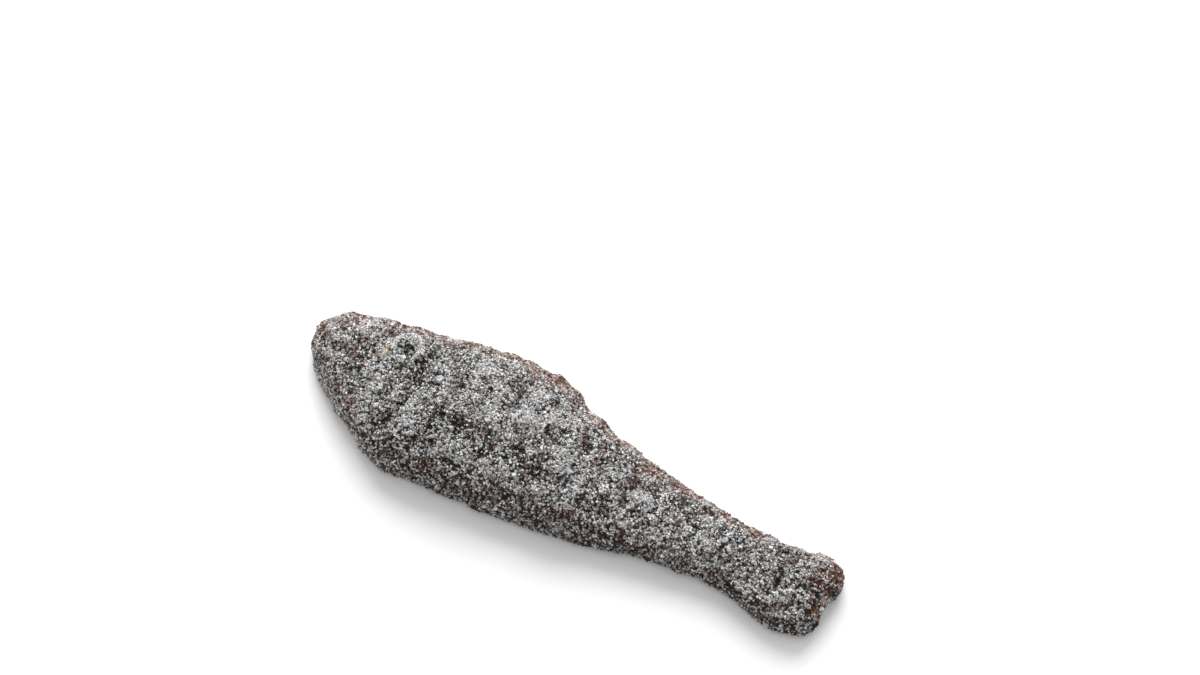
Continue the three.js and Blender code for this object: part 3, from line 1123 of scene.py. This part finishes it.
class LIQUORICE_OT_dust(bpy.types.Operator):
    """Fill the gaps between the crystals with the dust of broken ones"""

    bl_idname = "liquorice.dust"
    bl_label = "Dust"

    def execute(self, context):
        crust = context.scene.liquorice_crust
        kind = context.scene.liquorice_dust
        random = own_draw("dust")
        spots = crust_spots(crust.spacing, random)
        odds = crust.dusting * (DUST_ODDS_BARE + DUST_ODDS_OF_POWDER * powder_amount(spots)) * spots.cover
        odds *= 1.0 - smoothstep(*UNDERSIDE, spots.up)
        spots = spots.only(kept_by_odds(odds, random))

        count = len(spots.ridge)
        shades = DUST_SHADE_OF_POWDER * powder_amount(spots) + random.normal(*DUST_SHADES, count)
        sizes = sizes_of(kind, count, random)
        mesh = crystals_mesh("crystal_dust", kind, spots, sizes, np.clip(shades, 0.0, 1.0), GRAIN, random)
        add_piece("crystal_dust", mesh, crystal_material("crystal dust", kind))
        return {"FINISHED"}


# How the clumps vary: their spacing, their odds in their own places and elsewhere, and their shades.
CLUMP_SPACINGS = 2.0
CLUMP_ODDS_PLACED = 0.7
CLUMP_ODDS_STREWN = 0.6
LUMPY_SPREAD = (-0.2, 0.8)
THICK_POWDER = (0.2, 0.7)
CLUMP_SHADE_OF_POWDER = 0.8
CLUMP_SHADES = (0.05, 0.22)


class LIQUORICE_OT_clumps(bpy.types.Operator):
    """Cake the powder into rough lumps, over the eye, in the white patches and where it lies thick"""

    bl_idname = "liquorice.clumps"
    bl_label = "Powder clumps"

    def execute(self, context):
        crust = context.scene.liquorice_crust
        kind = context.scene.liquorice_clump
        random = own_draw("clump")
        spots = surface_spots(body_piece().data, CLUMP_SPACINGS * crust.spacing, random)
        powder = powder_amount(spots)
        strewn = smoothstep(*LUMPY_SPREAD, layered_clouds(spots.points, *LUMPY_POWDER))
        strewn *= smoothstep(*THICK_POWDER, powder) * smoothstep(*CLUMPED_SIDE, spots.up)
        placed = in_patches(spots, WHITE_PATCHES) + eye_ring(spots)
        kept = kept_by_odds(CLUMP_ODDS_PLACED * placed + CLUMP_ODDS_STREWN * strewn, random)
        spots = spots.only(kept)

        count = len(spots.ridge)
        shades = CLUMP_SHADE_OF_POWDER * powder[kept] + random.normal(*CLUMP_SHADES, count)
        shades = np.clip(shades, 0.0, 1.0)
        sizes = sizes_of(kind, count, random)
        mesh = crystals_mesh("powder_clumps", kind, spots, sizes, shades, round_lump(), random)
        shade_smooth(mesh)
        add_piece("powder_clumps", mesh, crystal_material("powder clump", kind))
        return {"FINISHED"}


LOWEST_FACING = -0.2
LARGEST_PARTS = 4
LARGEST_SHADE = 0.9
STREAK_HALF_WIDTH = 0.14


class LIQUORICE_OT_coarse_crust(bpy.types.Operator):
    """Press in the few coarse crystals and the amber ones by the eye"""

    bl_idname = "liquorice.coarse_crust"
    bl_label = "Coarse crystals"

    def execute(self, context):
        crust = context.scene.liquorice_crust
        random = own_draw("coarse")
        self.press_coarse(context.scene.liquorice_coarse, crust, random)
        self.press_amber(context.scene.liquorice_amber, crust, random)
        return {"FINISHED"}

    def press_coarse(self, kind, crust, random):
        """Single crystals all over the fish, and the largest one, which has grown from a few parts."""
        spots = surface_spots(body_piece().data, crust.coarse_spacing, random)
        spots = spots.only(spots.up > LOWEST_FACING)
        sizes = sizes_of(kind, len(spots.ridge), random)
        anywhere = surface_spots(body_piece().data, crust.spacing, random)
        largest = anywhere.only(nearest(anywhere, LARGEST_CRYSTAL, LARGEST_PARTS))
        shades = random.random_sample(len(sizes))
        spots = Spots(*(np.concatenate(both) for both in zip(spots, largest)))
        sizes = np.append(sizes, np.full(LARGEST_PARTS, crust.largest))
        shades = np.append(shades, np.full(LARGEST_PARTS, LARGEST_SHADE))
        mesh = crystals_mesh("coarse_crystals", kind, spots, sizes, shades, BLOCK, random)
        add_piece("coarse_crystals", mesh, crystal_material("coarse crystal", kind))

    def press_amber(self, kind, crust, random):
        """Small amber crystals along the streak beside the eye."""
        spots = surface_spots(body_piece().data, crust.spacing, random)
        u, v = fish_places(spots.points)
        (start_u, start_v), (end_u, end_v) = AMBER_STREAK
        along = np.clip((v - start_v) / (end_v - start_v), 0.0, 1.0)
        off = np.hypot(u - start_u - along * (end_u - start_u), v - start_v - along * (end_v - start_v))
        spots = spots.only((off < STREAK_HALF_WIDTH) & (spots.up > 0.0))
        sizes = sizes_of(kind, len(spots.ridge), random)
        shades = random.random_sample(len(sizes))
        mesh = crystals_mesh("amber_crystals", kind, spots, sizes, shades, BLOCK, random)
        add_piece("amber_crystals", mesh, crystal_material("amber crystal", kind))


class LIQUORICE_OT_studio(bpy.types.Operator):
    """Set up the white floor, the soft light and the camera"""

    bl_idname = "liquorice.studio"
    bl_label = "Studio"

    def execute(self, context):
        studio = context.scene.liquorice_studio
        lay_floor(studio)
        hang_key_light(studio)
        light_room(context.scene, studio.fill)
        place_camera(context.scene, studio)
        return {"FINISHED"}


# ---- Studio ----
PAPER_ROUGHNESS = 0.9
PAPER_GLOSS = 0.1
SENSOR_WIDTH = 36.0
NEAREST_SEEN = 0.01


def lay_floor(studio):
    half = studio.floor_width / 2.0
    corners = [(-half, -half, 0), (half, -half, 0), (half, half, 0), (-half, half, 0)]
    mesh = bpy.data.meshes.new("floor")
    mesh.from_pydata(corners, [], [(0, 1, 2, 3)])
    floor = bpy.data.objects.new("floor", mesh)
    bpy.context.scene.collection.objects.link(floor)
    material, _, shader = new_material("white paper")
    shader.inputs["Base Color"].default_value = opaque(studio.paper)
    shader.inputs["Roughness"].default_value = PAPER_ROUGHNESS
    shader.inputs["Specular IOR Level"].default_value = PAPER_GLOSS
    mesh.materials.append(material)


def aim_from(thing, target, azimuth, elevation, distance):
    """Put a camera or a lamp at a distance from its target, and point it there."""
    back = Vector(
        (
            math.sin(azimuth) * math.cos(elevation),
            -math.cos(azimuth) * math.cos(elevation),
            math.sin(elevation),
        )
    )
    thing.location = Vector(target) + back * distance
    thing.rotation_mode = "QUATERNION"
    thing.rotation_quaternion = back.to_track_quat("Z", "Y")


def hang_key_light(studio):
    """A soft round lamp behind the sweet, across from the camera."""
    data = bpy.data.lights.new("key", "AREA")
    data.shape = "DISK"
    data.size = studio.key_size
    data.energy = studio.key
    lamp = bpy.data.objects.new("key", data)
    bpy.context.scene.collection.objects.link(lamp)
    aim_from(lamp, (0.0, 0.0, 0.0), studio.key_azimuth, studio.key_elevation, studio.key_distance)


def light_room(scene, brightness):
    """White all round: plain white to the camera, dimmer as a source of light."""
    world = bpy.data.worlds.new("white room")
    world.use_nodes = True
    nodes, links = world.node_tree.nodes, world.node_tree.links
    background = nodes["Background"]
    background.inputs["Color"].default_value = (1.0, 1.0, 1.0, 1.0)
    path = nodes.new("ShaderNodeLightPath")
    strength = nodes.new("ShaderNodeMapRange")
    strength.inputs["To Min"].default_value = brightness
    strength.inputs["To Max"].default_value = 1.0
    links.new(path.outputs["Is Camera Ray"], strength.inputs["Value"])
    links.new(strength.outputs["Result"], background.inputs["Strength"])
    scene.world = world
    scene.view_settings.view_transform = "Standard"


def place_camera(scene, studio):
    data = bpy.data.cameras.new("camera")
    data.sensor_width = SENSOR_WIDTH
    data.lens = studio.lens
    data.clip_start = NEAREST_SEEN
    camera = bpy.data.objects.new("camera", data)
    scene.collection.objects.link(camera)
    aim_from(camera, studio.aim, studio.azimuth, studio.elevation, studio.distance)
    scene.camera = camera


# ---- Add-on ----
STEPS = (
    LIQUORICE_OT_body,
    LIQUORICE_OT_fine_crust,
    LIQUORICE_OT_dust,
    LIQUORICE_OT_clumps,
    LIQUORICE_OT_coarse_crust,
    LIQUORICE_OT_studio,
)
SETTINGS = {
    "liquorice_body": LiquoriceBodySettings,
    "liquorice_crust": CrustSettings,
    "liquorice_studio": StudioSettings,
    **{f"liquorice_{name}": kind for name, kind in KINDS.items()},
}


class LIQUORICE_PT_panel(bpy.types.Panel):
    """Steps and settings of the sweet"""

    bl_idname = "LIQUORICE_PT_panel"
    bl_label = "Liquorice Fish"
    bl_space_type = "VIEW_3D"
    bl_region_type = "UI"
    bl_category = "Liquorice Fish"

    def draw(self, context):
        for step in STEPS:
            self.layout.operator(step.bl_idname)
        for name, kind in SETTINGS.items():
            box = self.layout.box()
            box.label(text=name.replace("_", " ").capitalize())
            for field in kind.__annotations__:
                box.prop(getattr(context.scene, name), field)


def register():
    for kind in (*SETTINGS.values(), *STEPS, LIQUORICE_PT_panel):
        bpy.utils.register_class(kind)
    for name, kind in SETTINGS.items():
        setattr(bpy.types.Scene, name, bpy.props.PointerProperty(type=kind))


def unregister():
    for name in SETTINGS:
        delattr(bpy.types.Scene, name)
    for kind in reversed((*SETTINGS.values(), *STEPS, LIQUORICE_PT_panel)):
        bpy.utils.unregister_class(kind)


def main():
    register()
    for step in STEPS:
        group, action = step.bl_idname.split(".")
        getattr(getattr(bpy.ops, group), action)()


if __name__ == "__main__":
    main()
